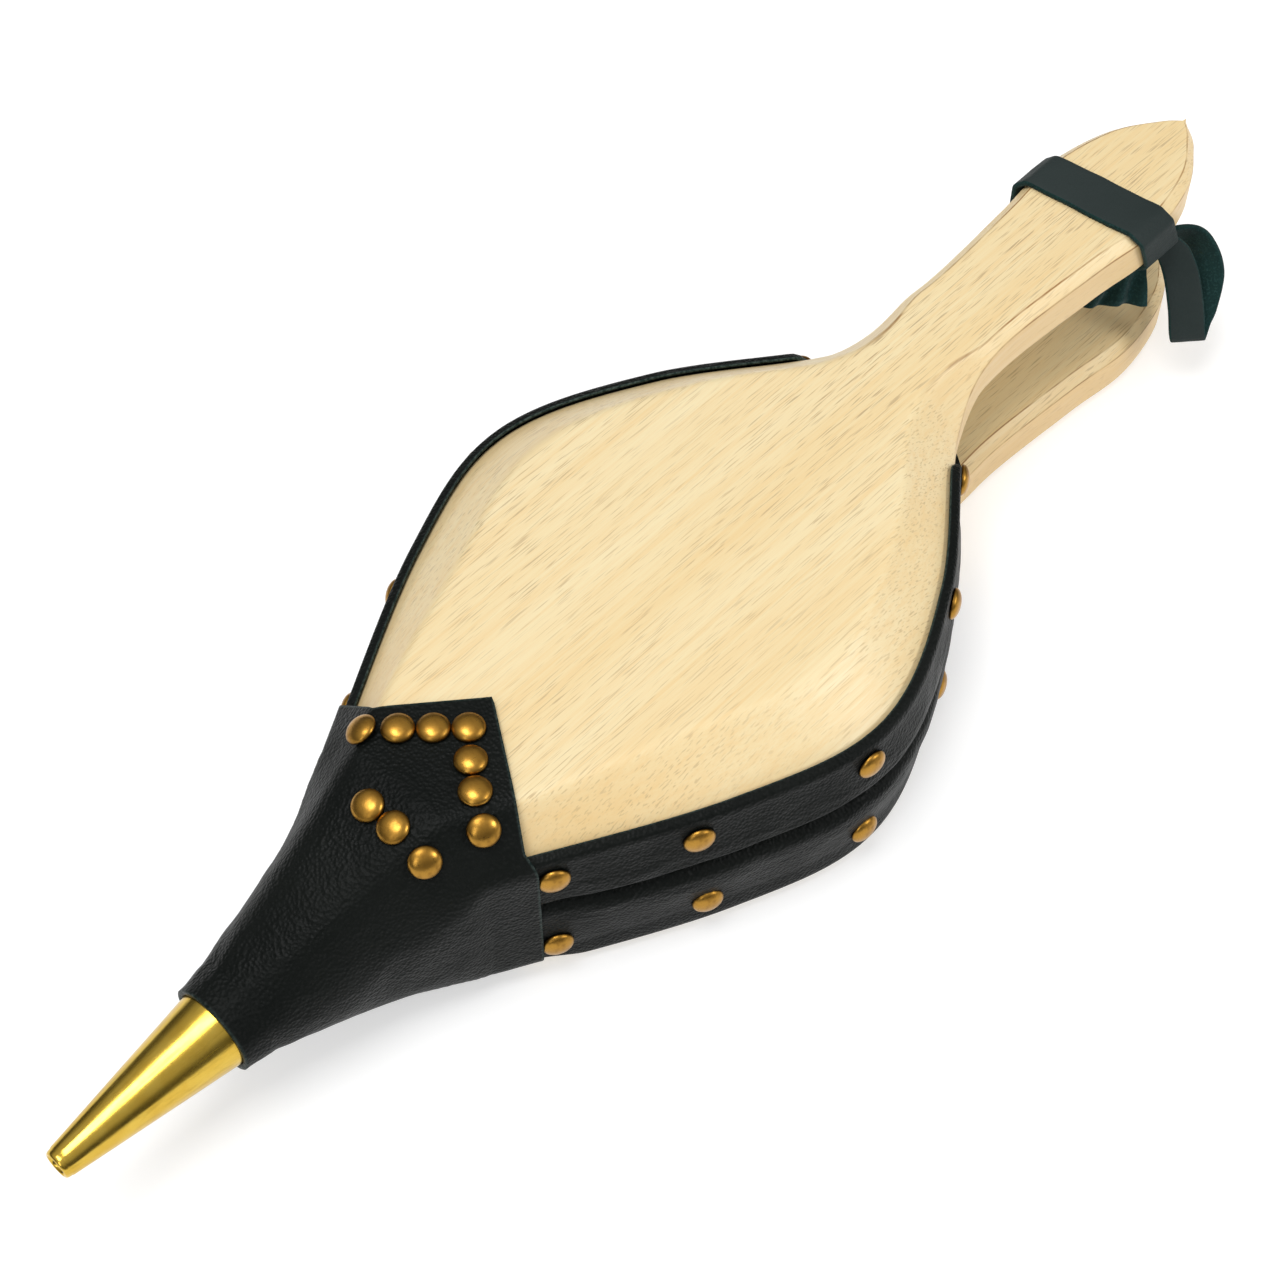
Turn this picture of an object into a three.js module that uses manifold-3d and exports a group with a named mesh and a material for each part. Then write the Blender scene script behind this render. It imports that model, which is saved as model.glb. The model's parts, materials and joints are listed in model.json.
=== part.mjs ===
// Hand bellows for a fireplace: two pear-shaped beech boards hinged at the nose, a folded leather
// side between them, a brass nozzle in a wooden nose block, an air valve and a leather strap.
// Millimetres, +Z up. X runs from the nozzle (-X) to the handles (+X), and the part lies flat on the
// lower board. The origin is the middle of its length and width, on the surface it lies on.
import * as THREE from "three";
import { mergeVertices } from "three/addons/utils/BufferGeometryUtils.js";
import Module from "manifold-3d";

const wasm = await Module();
wasm.setup();

// ---- driving dimensions ----
const HEIGHT = 77.5; // outer face of the lower board to outer face of the upper board
const BOARD_THICKNESS = 26;
const NOZZLE_TIP_X = -250;
const BOARD_NOSE_X = -118; // where both boards end and the nose block begins
const NECK_X = 95; // where the shoulders run into the handles
const HANDLE_END_X = 250;
const HALF_WIDTH = 80; // widest half-width of a board
const NECK_HALF_WIDTH = 18;
const HANDLE_HALF_WIDTH = 22.7;
const BEVEL_WIDTH = 20.9; // sloped border round the raised panel of the upper board
const BEVEL_DROP = 16.5;
const NOSE_BEVEL = 0.64; // share of its width that the border keeps at the nose
const LOWER_BEVEL_WIDTH = 6;
const LOWER_BEVEL_DROP = 5;
const HANDLE_CHAMFER = 3.5;
const HANDLE_RELIEF = 6; // the handles are thinner than the boards by this much, on the inner side
const NOSE_RELIEF = 5.6; // the lower board rises by this much under the nose leather
const END_SLOPE = 3.5; // slope of the upper board's nose end, which lets it close
const LEATHER = 1.8;
const GAP = 0.3; // clearance between pieces that touch
const FOLD_DEPTH = 13; // how far the side leather folds inwards
const LEATHER_BULGE = 2.2; // how far it swells outwards above and below the fold
const NOZZLE_BASE_RADIUS = 12.4; // where the nozzle leaves the leather
const NOZZLE_TIP_RADIUS = 4.7;
const NOZZLE_WALL = 1.2;
const SHANK_RADIUS = 10.6;
const SHANK_LENGTH = 20;
const DUCT_RADIUS = 8;
const BLOCK_LENGTH = 66; // the part of the nose block in front of the boards
const COLLAR_LENGTH = 10; // how far the nose leather reaches over the nozzle
const SHOULDER_EASE = 10; // how much steeper the block's shoulders are than the boards' border
const BLOCK_FRONT_RADIUS = 13.6;
const TONGUE_LENGTH = 14; // the part of the nose block that lies between the boards
const TONGUE_HALF_WIDTH = 18;
const TONGUE_CLEARANCE = 3.5; // free height over the tongue
const WRAP_SIDE_X = BOARD_NOSE_X + 13; // rear edge of the nose leather at the sides
const WRAP_POINT_X = BOARD_NOSE_X + 39; // and at the tip of its V on the upper board
const WRAP_POINT_Y = 2;
const VALVE_X = 4;
const VALVE_HOLE_RADIUS = 13;
const FLAP_LENGTH = 46;
const FLAP_WIDTH = 40;
const FLAP_THICKNESS = 3;
const KEEPER_RISE = 9.5; // inside height of the strip that stops the flap
const KEEPER_WIDTH = 9;
const KEEPER_FOOT = 20; // how far the strip reaches out beside the flap
const TACK_HEAD_RADIUS = 5;
const TACK_HEAD_HEIGHT = 2.9;
const TACK_SHANK_RADIUS = 1.1;
const TACK_LENGTH = 11;
const UPPER_TACK_X = [BOARD_NOSE_X + 19, -61, -8.5, 51, NECK_X - 5];
const LOWER_TACK_X = [BOARD_NOSE_X + 19, -58, -8, 47, NECK_X - 6];
const STRAP_WIDTH = 17.5;
const STRAP_THICKNESS = 1.8;
const STRAP_X = HANDLE_END_X - 51.4;
const STRAP_SKEW = 2.5; // the strap lies a little aslant over the handle
const STRAP_PULL = 9; // and its near side leans this much towards the hanging loop
const LOOP_WIDTH = 12.5;
const GATHER_WIDTH = 20;

const AXIS_Z = HEIGHT / 2; // height of the nozzle's axis, midway between the boards
const INNER_FACE = HEIGHT - BOARD_THICKNESS; // inner face of the upper board
const BEVEL_FOOT = HEIGHT - BEVEL_DROP; // upper edge of its side
const BLOCK_FRONT_X = BOARD_NOSE_X - BLOCK_LENGTH;
const COLLAR_END_X = BLOCK_FRONT_X - COLLAR_LENGTH; // front edge of the nose leather

const root = new THREE.Group();

// ---- materials ----
const material = (color, roughness, metalness) =>
  new THREE.MeshStandardMaterial({ color, roughness, metalness });
const beech = material(0xe6cf9c, 0.55, 0);
const blockWood = material(0xd9bd86, 0.65, 0);
const blackLeather = material(0x1d2422, 0.5, 0);
const suede = material(0x14322f, 0.9, 0);
const brass = material(0xc9a23c, 0.2, 1);
const bronze = material(0x8a6420, 0.35, 0.9);

function addNode(name, geometry, look) {
  const mesh = new THREE.Mesh(geometry, look);
  mesh.name = name;
  root.add(mesh);
  return mesh;
}

// ---- small helpers ----
const smooth = (x, from, to) => THREE.MathUtils.smoothstep(x, from, to);
const lerp = THREE.MathUtils.lerp;
const point = (x, y, z) => new THREE.Vector3(x, y, z);

// A closed body through rings of equally many points, with flat ends. Seen from the last ring
// towards the first, each ring runs counterclockwise.
function loft(rings) {
  const count = rings[0].length;
  const positions = rings.flat().flatMap((p) => [p.x, p.y, p.z]);
  const indices = [];
  for (let i = 0; i + 1 < rings.length; i++) {
    for (let k = 0; k < count; k++) {
      const a = i * count + k;
      const b = i * count + ((k + 1) % count);
      indices.push(a, b, b + count, a, b + count, a + count);
    }
  }
  const outline = (ring) => {
    const centre = ring.reduce((sum, p) => sum.add(p), new THREE.Vector3()).divideScalar(count);
    positions.push(centre.x, centre.y, centre.z);
    return positions.length / 3 - 1;
  };
  const first = outline(rings[0]);
  const last = outline(rings[rings.length - 1]);
  const start = (rings.length - 1) * count;
  for (let k = 0; k < count; k++) {
    const next = (k + 1) % count;
    indices.push(first, next, k, last, start + k, start + next);
  }
  const geometry = new THREE.BufferGeometry();
  geometry.setAttribute("position", new THREE.Float32BufferAttribute(positions, 3));
  geometry.setIndex(indices);
  return geometry;
}

function toSolid(geometry) {
  const bare = geometry.clone();
  bare.deleteAttribute("normal");
  bare.deleteAttribute("uv");
  const merged = mergeVertices(bare, 1e-4);
  return new wasm.Manifold(
    new wasm.Mesh({
      numProp: 3,
      vertProperties: new Float32Array(merged.attributes.position.array),
      triVerts: new Uint32Array(merged.index.array),
    }),
  );
}

function toGeometry(solid) {
  const mesh = solid.getMesh();
  const geometry = new THREE.BufferGeometry();
  geometry.setAttribute("position", new THREE.BufferAttribute(mesh.vertProperties, 3));
  geometry.setIndex(new THREE.BufferAttribute(mesh.triVerts, 1));
  geometry.computeVertexNormals();
  return geometry;
}

// A box given by its two extreme corners.
function boxBetween(low, high) {
  const size = high.clone().sub(low);
  const middle = low.clone().add(high).multiplyScalar(0.5);
  return new THREE.BoxGeometry(size.x, size.y, size.z).translate(middle.x, middle.y, middle.z);
}

// A cylinder along X.
function rodAlongX(radius, fromX, toX, z, sides) {
  return new THREE.CylinderGeometry(radius, radius, toX - fromX, sides)
    .rotateZ(Math.PI / 2)
    .translate((fromX + toX) / 2, 0, z);
}

// ---- outline of a board ----
// One half of the pear shape and its handle, from the nose end to the tip of the handle.
const noseHalfWidth = HALF_WIDTH * 0.37;
const outline = new THREE.CatmullRomCurve3(
  [
    point(BOARD_NOSE_X, noseHalfWidth, 0),
    point(-50, HALF_WIDTH * 0.825, 0),
    point(0, HALF_WIDTH, 0),
    point(50, HALF_WIDTH * 0.765, 0),
    point(NECK_X + 5, NECK_HALF_WIDTH + 7.5, 0),
    point(NECK_X + 33, NECK_HALF_WIDTH, 0),
    point(NECK_X + 80, HANDLE_HALF_WIDTH - 2.5, 0),
    point(HANDLE_END_X - 47, HANDLE_HALF_WIDTH, 0),
    point(HANDLE_END_X - 22, HANDLE_HALF_WIDTH * 0.8, 0),
    point(HANDLE_END_X - 7, HANDLE_HALF_WIDTH * 0.41, 0),
    point(HANDLE_END_X - 1.5, HANDLE_HALF_WIDTH * 0.18, 0),
    point(HANDLE_END_X, 0.4, 0),
  ],
  false,
  "catmullrom",
  0.5,
);
const OUTLINE_STEPS = 55;

// The place on the outline at a given x: its half-width and its outward direction.
function outlineAt(x) {
  let low = 0;
  let high = 1;
  for (let i = 0; i < 40; i++) {
    const middle = (low + high) / 2;
    if (outline.getPoint(middle).x < x) low = middle;
    else high = middle;
  }
  const tangent = outline.getTangent(low);
  return {
    halfWidth: outline.getPoint(low).y,
    outward: new THREE.Vector2(-tangent.y, tangent.x).normalize(),
  };
}

// Stations [x, half-width] along the outline between two places, with extra ones where asked.
function outlineStations(fromX, toX, extra) {
  const stations = extra.map((x) => [x, outlineAt(x).halfWidth]);
  for (let i = 0; i <= OUTLINE_STEPS; i++) {
    const { x, y } = outline.getPoint(i / OUTLINE_STEPS);
    if (x >= fromX && x <= toX) stations.push([x, y]);
  }
  return stations.sort((a, b) => a[0] - b[0]);
}

// Depth of the handle's share at x: 0 in the body of the board, 1 in the handle.
const handleShare = (x) => smooth(x, NECK_X + 11, NECK_X + 27);

// Width of the upper board's sloped border at x: it narrows towards the nose.
const upperBevel = (x) => {
  return BEVEL_WIDTH * lerp(NOSE_BEVEL, 1, smooth(x, BOARD_NOSE_X + 8, BOARD_NOSE_X + 75));
};

// The four corners of a board's half section at x, as [y, depth under the outer face].
function boardCorners(x, halfWidth, bevelWidth, bevelDrop) {
  const width = lerp(bevelWidth, HANDLE_CHAMFER, smooth(x, NECK_X - 20, NECK_X + 33));
  const drop = lerp(bevelDrop, HANDLE_CHAMFER, smooth(x, NECK_X, NECK_X + 33));
  const share = handleShare(x);
  const innerDepth = BOARD_THICKNESS - HANDLE_RELIEF * share;
  const innerChamfer = lerp(0.8, HANDLE_CHAMFER, share);
  return [
    [Math.max(halfWidth - width, 0.15), 0],
    [halfWidth, drop],
    [halfWidth, innerDepth - innerChamfer],
    [Math.max(halfWidth - innerChamfer, 0.1), innerDepth],
  ];
}

// A ring of eight points: one half section and its mirror image.
function boardRing(x, halfWidth, bevelWidth, bevelDrop, rise) {
  const half = boardCorners(x, halfWidth, bevelWidth, bevelDrop).map(([y, depth]) => {
    const raised = depth + rise * (1 - depth / BOARD_THICKNESS);
    return point(x, y, raised);
  });
  const mirrored = half.map((p) => point(p.x, -p.y, p.z)).reverse();
  return [...half, ...mirrored];
}

// The lower board is relieved under the nose leather between these two places.
const RELIEF_FROM_X = BOARD_NOSE_X + 12;
const RELIEF_TO_X = BOARD_NOSE_X + 28;
const noseRise = (x) => NOSE_RELIEF * (1 - smooth(x, RELIEF_FROM_X, RELIEF_TO_X));

function boardRings(bevelWidthAt, bevelDrop, riseAt, extra) {
  return outlineStations(BOARD_NOSE_X, HANDLE_END_X, extra).map(([x, halfWidth]) =>
    boardRing(x, halfWidth, bevelWidthAt(x), bevelDrop, riseAt(x)),
  );
}

// ---- tacks ----
// A domed head with a pointed shank. Local +Z is the outward direction; z = 0 is the head's rim.
function tackGeometry() {
  const profile = [
    [0, -TACK_LENGTH],
    [TACK_SHANK_RADIUS, -TACK_LENGTH + 2],
    [TACK_SHANK_RADIUS, 0],
    [TACK_HEAD_RADIUS, 0],
    [TACK_HEAD_RADIUS * 0.93, TACK_HEAD_HEIGHT * 0.35],
    [TACK_HEAD_RADIUS * 0.62, TACK_HEAD_HEIGHT * 0.83],
    [0, TACK_HEAD_HEIGHT],
  ].map(([r, z]) => new THREE.Vector2(r, z));
  return new THREE.LatheGeometry(profile, 10).rotateX(Math.PI / 2);
}

const tackShape = tackGeometry();
const tackHole = new THREE.CylinderGeometry(
  TACK_SHANK_RADIUS + GAP,
  TACK_SHANK_RADIUS + GAP,
  TACK_LENGTH + 3,
  6,
)
  .rotateX(Math.PI / 2)
  .translate(0, 0, (3 - TACK_LENGTH) / 2 - 0.5);

function placement(position, outward) {
  const turn = new THREE.Quaternion().setFromUnitVectors(point(0, 0, 1), outward.clone().normalize());
  return new THREE.Matrix4().compose(position, turn, point(1, 1, 1));
}

const tacks = [];
function planTack(name, position, outward) {
  const matrix = placement(position, outward);
  tacks.push({ name, matrix, hole: toSolid(tackHole.clone().applyMatrix4(matrix)) });
}

// Cuts the shank holes of every tack whose name starts with one of the given words.
function drill(solid, ...words) {
  return tacks
    .filter((tack) => words.some((word) => tack.name.startsWith(word)))
    .reduce((left, tack) => left.subtract(tack.hole), solid);
}

// Along the sides: five to a side in each board, through the side leather.
const TACK_SEAT = 0.25; // clearance under a tack's head
const leatherOffset = GAP + LEATHER + TACK_SEAT;
const UPPER_TACK_Z = INNER_FACE + 3.2;
const LOWER_TACK_Z = 17.5;
for (const [row, z, places] of [
  ["upper", UPPER_TACK_Z, UPPER_TACK_X],
  ["lower", LOWER_TACK_Z, LOWER_TACK_X],
]) {
  for (const [side, sign] of [
    ["near", -1],
    ["far", 1],
  ]) {
    places.forEach((x, i) => {
      const { halfWidth, outward } = outlineAt(x);
      const normal = point(outward.x, sign * outward.y, 0);
      const edge = point(x, sign * halfWidth, z).addScaledVector(normal, leatherOffset);
      planTack(`tack_${row}_${side}_${i + 1}`, edge, normal);
    });
  }
}

// ---- section of the nose: boards, nose block and the leather round them ----
// How far the section has changed from the boards' outline (0) to a circle (1).
const roundShare = (x) => {
  const share = THREE.MathUtils.clamp((BOARD_NOSE_X - x) / (BOARD_NOSE_X - BLOCK_FRONT_X), 0, 1);
  return Math.pow(share, 1.05);
};

// The ring of the nose at x, moved out by the given allowances at its sides and at its faces.
function noseRing(x, sideAllowance, faceAllowance) {
  const halfWidth = outlineAt(Math.max(x, BOARD_NOSE_X)).halfWidth;
  const panel = Math.max(halfWidth - upperBevel(x), 0.15) + 0.45 * faceAllowance;
  const side = halfWidth + sideAllowance;
  const under = halfWidth - LOWER_BEVEL_WIDTH + 0.5 * faceAllowance;
  const rise = noseRise(x);
  const lowFace = rise - faceAllowance;
  const ease = 1 - smooth(x, BOARD_NOSE_X - 26, BOARD_NOSE_X + 2);
  const corners = [
    [0, HEIGHT + faceAllowance, 2],
    [panel, HEIGHT + faceAllowance, 3],
    [side, BEVEL_FOOT - SHOULDER_EASE * ease + 0.4 * sideAllowance, 5],
    [side, rise + LOWER_BEVEL_DROP + 0.5 * SHOULDER_EASE * ease - 0.3 * faceAllowance, 1],
    [under, lowFace, 3],
    [0, lowFace, 0],
  ];
  const half = [];
  corners.slice(0, -1).forEach(([y, z, pieces], i) => {
    for (let k = 0; k < pieces; k++) {
      const [nextY, nextZ] = corners[i + 1];
      half.push([lerp(y, nextY, k / pieces), lerp(z, nextZ, k / pieces)]);
    }
  });
  half.push([0, lowFace]);
  const share = roundShare(x);
  const radius = BLOCK_FRONT_RADIUS + sideAllowance;
  const shaped = half.map(([y, z], i) => {
    const angle = Math.PI / 2 - (Math.PI * i) / (half.length - 1);
    const roundY = radius * Math.cos(angle);
    const roundZ = AXIS_Z + radius * Math.sin(angle);
    return point(x, lerp(y, roundY, share), lerp(z, roundZ, share));
  });
  const mirrored = shaped.slice(1, -1).map((p) => point(p.x, -p.y, p.z)).reverse();
  return [...shaped, ...mirrored];
}

// The nozzle's cone.
const coneRadius = (x) =>
  NOZZLE_BASE_RADIUS +
  ((x - COLLAR_END_X) * (NOZZLE_BASE_RADIUS - NOZZLE_TIP_RADIUS)) / (COLLAR_END_X - NOZZLE_TIP_X);

// ---- nose leather: a shell round the nose block, the boards' ends and the nozzle's base ----
// Room for the side leather under the nose leather, measured across the slanting outline.
const SIDE_LEATHER = (GAP + LEATHER) * 1.25 + GAP;
const wrapAllowance = (x) => {
  return lerp(GAP, SIDE_LEATHER, smooth(x, BOARD_NOSE_X - 32, BOARD_NOSE_X - 4));
};
const behindNose = [WRAP_POINT_X + 2, BOARD_NOSE_X + 31, BOARD_NOSE_X + 22, WRAP_SIDE_X];
const atNose = [BOARD_NOSE_X + 7, BOARD_NOSE_X];
const blockShares = [0.05, 0.18, 0.33, 0.5, 0.65, 0.79, 0.91, 1];
function wrapRings(thickness) {
  const alongBlock = blockShares.map((share) => BOARD_NOSE_X - share * BLOCK_LENGTH);
  const stations = [...behindNose, ...atNose, ...alongBlock];
  const rings = stations.map((x) => {
    return noseRing(x, wrapAllowance(x) + thickness, GAP + thickness);
  });
  const collar = noseRing(BLOCK_FRONT_X, GAP + thickness, GAP + thickness);
  const endRadius = coneRadius(COLLAR_END_X) + GAP + thickness;
  const scale = endRadius / (BLOCK_FRONT_RADIUS + GAP + thickness);
  const front = collar.map((p) => point(COLLAR_END_X, p.y * scale, AXIS_Z + (p.z - AXIS_Z) * scale));
  return [...rings, front];
}

// The V is cut over the whole height on top, and straight across underneath.
function behindTheV() {
  const halfSpan = noseHalfWidth + 8;
  const plan = new THREE.Shape()
    .moveTo(WRAP_POINT_X, WRAP_POINT_Y)
    .lineTo(WRAP_SIDE_X, -halfSpan)
    .lineTo(WRAP_SIDE_X, -2 * HALF_WIDTH)
    .lineTo(WRAP_POINT_X + 20, -2 * HALF_WIDTH)
    .lineTo(WRAP_POINT_X + 20, 2 * HALF_WIDTH)
    .lineTo(WRAP_SIDE_X, 2 * HALF_WIDTH)
    .lineTo(WRAP_SIDE_X, halfSpan);
  const above = new THREE.ExtrudeGeometry(plan, { depth: 2 * HEIGHT, bevelEnabled: false });
  const below = boxBetween(
    point(WRAP_SIDE_X, -2 * HALF_WIDTH, -HEIGHT),
    point(WRAP_POINT_X + 20, 2 * HALF_WIDTH, AXIS_Z + 5),
  );
  return toSolid(above.translate(0, 0, -HEIGHT / 2)).add(toSolid(below));
}

// Height of the nose leather's upper side at x, y.
function wrapHeight(x, y) {
  const ring = noseRing(x, wrapAllowance(x) + LEATHER, GAP + LEATHER);
  const i = ring.findIndex((p) => p.y > Math.abs(y));
  const inner = ring[i - 1];
  const outer = ring[i];
  return lerp(inner.z, outer.z, (Math.abs(y) - inner.y) / (outer.y - inner.y));
}

function planWrapTack(name, x, y) {
  const reach = TACK_HEAD_RADIUS * 0.6;
  const slopeX = (wrapHeight(x + reach, y) - wrapHeight(x - reach, y)) / (2 * reach);
  const slopeY = (wrapHeight(x, y + reach) - wrapHeight(x, y - reach)) / (2 * reach);
  const normal = point(-slopeX, -slopeY, 1).normalize();
  const seat = point(x, y, wrapHeight(x, y)).addScaledVector(normal, 2 * TACK_SEAT);
  planTack(name, seat, normal);
}

// On top, the rows along the V go into the upper board and the cross row into the nose block.
const pointTackX = WRAP_POINT_X - 12.5;
planWrapTack("tack_v_point", pointTackX, -1);
for (const i of [1, 2, 3]) {
  planWrapTack(`tack_v_near_${i}`, pointTackX - (7.8 - 0.5 * i) * i, -1 - 8.2 * i);
  planWrapTack(`tack_v_far_${i}`, pointTackX - 7 * i, -1 + 7.2 * i);
}
[2.5, -7.8, -19.5].forEach((y, i) => {
  planWrapTack(`tack_cross_${i + 1}`, BOARD_NOSE_X - 9.5, y);
});

// Underneath, a row through the leather into the lower board.
const UNDER_TACK_Z = NOSE_RELIEF - GAP - LEATHER - TACK_SEAT;
[-16, -5.5, 5.5, 16].forEach((y, i) => {
  planTack(`tack_under_${i + 1}`, point(BOARD_NOSE_X + 7, y, UNDER_TACK_Z), point(0, 0, -1));
});

// ---- boards ----
function upperBoard() {
  const rings = boardRings(upperBevel, BEVEL_DROP, () => 0, []);
  for (const p of rings[0]) p.x += (END_SLOPE * p.z) / BOARD_THICKNESS;
  const placed = rings.map((ring) => ring.map((p) => point(p.x, p.y, HEIGHT - p.z)).reverse());
  return drill(toSolid(loft(placed)), "tack_upper", "tack_v");
}

function lowerBoard() {
  const extra = [RELIEF_FROM_X, lerp(RELIEF_FROM_X, RELIEF_TO_X, 0.5), RELIEF_TO_X];
  const rings = boardRings(() => LOWER_BEVEL_WIDTH, LOWER_BEVEL_DROP, noseRise, extra);
  const solid = toSolid(loft(rings));
  const hole = new THREE.CylinderGeometry(VALVE_HOLE_RADIUS, VALVE_HOLE_RADIUS, 80, 24)
    .rotateX(Math.PI / 2)
    .translate(VALVE_X, 0, 0);
  return drill(solid.subtract(toSolid(hole)), "tack_lower", "tack_under", "tack_valve");
}

// ---- nose block, with the duct and the nozzle's socket ----
function noseBlock() {
  const rearX = BOARD_NOSE_X - 0.4;
  const shares = [0.18, 0.36, 0.55, 0.73, 0.88, 1];
  const stations = [rearX, ...shares.map((share) => BOARD_NOSE_X - share * BLOCK_LENGTH)];
  const body = toSolid(loft(stations.map((x) => noseRing(x, 0, 0))));
  const tongue = boxBetween(
    point(rearX - 2, -TONGUE_HALF_WIDTH, BOARD_THICKNESS + GAP),
    point(BOARD_NOSE_X + TONGUE_LENGTH, TONGUE_HALF_WIDTH, INNER_FACE - TONGUE_CLEARANCE),
  );
  const duct = rodAlongX(DUCT_RADIUS, BLOCK_FRONT_X - 36, BOARD_NOSE_X + 38, AXIS_Z, 20);
  const socketEnd = BLOCK_FRONT_X + SHANK_LENGTH + GAP;
  const socket = rodAlongX(SHANK_RADIUS + GAP, BLOCK_FRONT_X - 5, socketEnd, AXIS_Z, 28);
  const solid = body.add(toSolid(tongue)).subtract(toSolid(duct)).subtract(toSolid(socket));
  return drill(solid, "tack_cross");
}

// ---- nozzle: a hollow brass cone with a shank in the block ----
function nozzleGeometry() {
  const shoulderX = BLOCK_FRONT_X - GAP;
  const lipX = NOZZLE_TIP_X + 1.2;
  const bore = NOZZLE_TIP_RADIUS - NOZZLE_WALL;
  const rearX = BLOCK_FRONT_X + SHANK_LENGTH;
  const profile = [
    [SHANK_RADIUS, rearX],
    [SHANK_RADIUS, shoulderX],
    [coneRadius(shoulderX), shoulderX],
    [coneRadius(lipX), lipX],
    [NOZZLE_TIP_RADIUS - 0.5, NOZZLE_TIP_X + 0.3],
    [bore + 0.2, NOZZLE_TIP_X],
    [bore, NOZZLE_TIP_X + 0.5],
    [SHANK_RADIUS - NOZZLE_WALL, shoulderX],
    [SHANK_RADIUS - NOZZLE_WALL, rearX],
    [SHANK_RADIUS, rearX],
  ].map(([r, x]) => new THREE.Vector2(r, -x));
  return new THREE.LatheGeometry(profile, 36).rotateZ(Math.PI / 2).translate(0, 0, AXIS_Z);
}

// ---- side leather: a folded strip round the boards, from the nose round the neck and back ----
function leatherPath() {
  const offset = GAP + LEATHER / 2;
  const from = BOARD_NOSE_X + 3;
  const to = NECK_X + 2;
  const side = outlineStations(from, to, [from, to]).map(([x, halfWidth]) => {
    const { outward } = outlineAt(x);
    return new THREE.Vector2(x + outward.x * offset, halfWidth + outward.y * offset);
  });
  const turnX = NECK_X + 8;
  side.push(new THREE.Vector2(NECK_X + 5, NECK_HALF_WIDTH + 5.5));
  side.push(new THREE.Vector2(turnX - 0.6, NECK_HALF_WIDTH + 0.5));
  side.push(new THREE.Vector2(turnX, NECK_HALF_WIDTH - 6));
  const far = side.map((p) => new THREE.Vector2(p.x, p.y));
  const near = side.map((p) => new THREE.Vector2(p.x, -p.y)).reverse();
  return [...far, new THREE.Vector2(turnX, 0), ...near];
}

// Half-height profile of the strip: [offset outwards, height], from the lower edge to the upper.
function leatherProfile(x, inside) {
  const nose = smooth(x, BOARD_NOSE_X + 16, BOARD_NOSE_X + 34);
  const neck = 1 - smooth(x, NECK_X - 22, NECK_X - 2);
  const body = Math.min(nose, neck);
  const depth = lerp(3.2, FOLD_DEPTH, body);
  const bulge = LEATHER_BULGE * body;
  const lowEdge = inside ? BOARD_THICKNESS + GAP : 6.5 + (1 - nose) * 4.5;
  const highEdge = inside ? INNER_FACE - GAP : BEVEL_FOOT - 0.3;
  const lowStart = inside ? BOARD_THICKNESS + 1.6 : BOARD_THICKNESS + 1.5;
  const highStart = inside ? INNER_FACE - 1.6 : INNER_FACE - 2.2;
  return [
    [0, lowEdge],
    [0, lowStart],
    [bulge, lerp(lowStart, AXIS_Z, 0.45)],
    [-depth, AXIS_Z],
    [bulge, lerp(highStart, AXIS_Z, 0.45)],
    [0, highStart],
    [0, highEdge],
  ];
}

function sideLeather() {
  const path = leatherPath();
  const rings = path.map((p, i) => {
    const before = path[Math.max(i - 1, 0)];
    const after = path[Math.min(i + 1, path.length - 1)];
    const along = after.clone().sub(before).normalize();
    const outward = new THREE.Vector2(-along.y, along.x);
    const inside = p.x > NECK_X + 2.5;
    const profile = leatherProfile(p.x, inside);
    const at = ([offset, z], shift) => {
      const reach = offset + shift;
      return point(p.x + outward.x * reach, p.y + outward.y * reach, z);
    };
    const outer = profile.map((step) => at(step, LEATHER / 2));
    const inner = profile.map((step) => at(step, -LEATHER / 2)).reverse();
    return [...outer, ...inner];
  });
  return drill(toSolid(loft(rings)), "tack_upper", "tack_lower");
}

// ---- air valve in the lower board ----
const flapHingeX = VALVE_X - FLAP_LENGTH / 2;
const FLAP_BASE = BOARD_THICKNESS + GAP;
function valveFlap() {
  return boxBetween(
    point(flapHingeX, -FLAP_WIDTH / 2, FLAP_BASE),
    point(flapHingeX + FLAP_LENGTH, FLAP_WIDTH / 2, FLAP_BASE + FLAP_THICKNESS),
  );
}

// The leather hinge of the flap: a strip tacked to the board just in front of the flap.
const HINGE_STRIP = 12;
const HINGE_CLEARANCE = 0.4; // room for the flap's edge to swing back
const hingeStripX = flapHingeX - HINGE_CLEARANCE;
function valveHinge() {
  return toSolid(
    boxBetween(
      point(hingeStripX - HINGE_STRIP, -FLAP_WIDTH / 2, FLAP_BASE),
      point(hingeStripX, FLAP_WIDTH / 2, FLAP_BASE + LEATHER),
    ),
  );
}
for (const [i, y] of [-FLAP_WIDTH / 3, FLAP_WIDTH / 3].entries()) {
  const seat = point(hingeStripX - HINGE_STRIP / 2, y, FLAP_BASE + LEATHER + TACK_SEAT);
  planTack(`tack_valve_hinge_${i + 1}`, seat, point(0, 0, 1));
}

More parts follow.
